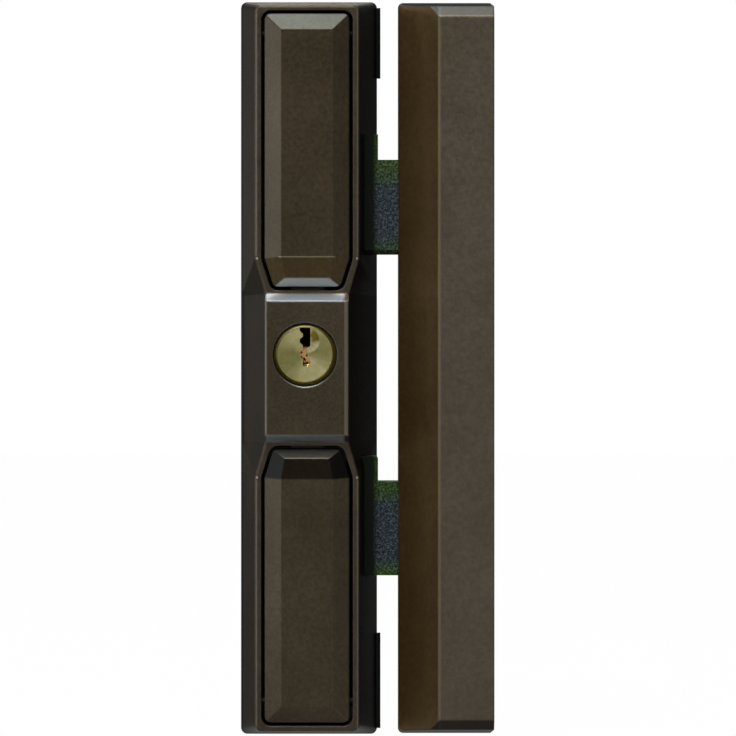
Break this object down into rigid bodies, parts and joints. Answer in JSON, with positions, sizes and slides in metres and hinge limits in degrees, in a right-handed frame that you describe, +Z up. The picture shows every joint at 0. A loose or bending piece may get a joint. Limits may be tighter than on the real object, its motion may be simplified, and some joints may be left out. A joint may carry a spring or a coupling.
{
  "type": "window lock",
  "caption": "Surface-mounted window lock: slim case with a key cylinder between bevelled press keys, flat steel bolts that slide sideways, and a matching strike box",
  "frame": {"origin": "the middle of the lock case's mounting face, on the window frame", "axes": "+Z up along the case, +X from the case towards the strike box, the front faces -Y"},
  "size_m": [0.0583, 0.0335, 0.1712],
  "materials": {
    "case_paint": "fine-textured dark brown paint on die-cast zinc, semi-matt",
    "key_paint": "dark brown paint on die-cast zinc, semi-matt, slightly smoother than the case",
    "strike_paint": "smooth dark brown paint on die-cast zinc, semi-matt",
    "bolt_steel": "zinc-plated and passivated steel, blue and green cast, scuffed",
    "brass": "turned brass, fine rings, slightly dulled",
    "plate_steel": "bright zinc-plated sheet steel",
    "screw_steel": "zinc-plated steel",
    "spring_steel": "drawn spring wire"
  },
  "bodies": {
    "housing": {"case_shell": "case_paint", "base_plate": "plate_steel", "case_screws": "screw_steel", "cylinder_body": "brass", "pin_cover": "brass", "driver_pins": "brass", "pin_springs": "spring_steel", "cylinder_bridge": "plate_steel", "upper_bolt_guide": "plate_steel", "lower_bolt_guide": "plate_steel", "hinge_pins": "screw_steel", "key_springs": "spring_steel", "bar_spring": "spring_steel", "strike_cover": "strike_paint", "strike_keep": "plate_steel", "strike_screws": "screw_steel"},
    "plug": {"plug": "brass", "cam": "plate_steel", "cam_clip": "screw_steel", "key_pins": "brass"},
    "drive_bar": {"drive_bar": "plate_steel", "bolt_pins": "screw_steel"},
    "upper_bolt": {"upper_bolt": "bolt_steel"},
    "lower_bolt": {"lower_bolt": "bolt_steel"},
    "upper_key": {"upper_key": "key_paint"},
    "lower_key": {"lower_key": "key_paint"}
  },
  "joints": [
    {"name": "plug_turn", "type": "hinge", "parent": "housing", "child": "plug", "pos_m": [-0.0004, -0.0333, 0.003], "axis": [0, 1, 0], "range_deg": [0, 90]},
    {"name": "bar_slide", "type": "slide", "parent": "housing", "child": "drive_bar", "axis": [0, 0, -1], "range_m": [0, 0.00848], "deforming": ["bar_spring"]},
    {"name": "upper_bolt_slide", "type": "slide", "parent": "housing", "child": "upper_bolt", "axis": [-1, 0, 0], "range_m": [0, 0.011]},
    {"name": "lower_bolt_slide", "type": "slide", "parent": "housing", "child": "lower_bolt", "axis": [-1, 0, 0], "range_m": [0, 0.011]},
    {"name": "upper_key_hinge", "type": "hinge", "parent": "housing", "child": "upper_key", "pos_m": [0, -0.027, 0.0758], "axis": [-1, 0, 0], "range_deg": [0, 4.5]},
    {"name": "lower_key_hinge", "type": "hinge", "parent": "housing", "child": "lower_key", "pos_m": [0, -0.027, -0.0758], "axis": [1, 0, 0], "range_deg": [0, 4.5]}
  ],
  "couplings": [
    {"joint": "plug_turn", "follows": "bar_slide", "rad_per_m": 185.12},
    {"joint": "upper_bolt_slide", "follows": "bar_slide", "ratio": 1.2964},
    {"joint": "lower_bolt_slide", "follows": "bar_slide", "ratio": 1.2964},
    {"joint": "upper_key_hinge", "follows": "bar_slide", "rad_per_m": 9.256},
    {"joint": "lower_key_hinge", "follows": "bar_slide", "rad_per_m": 9.256}
  ]
}
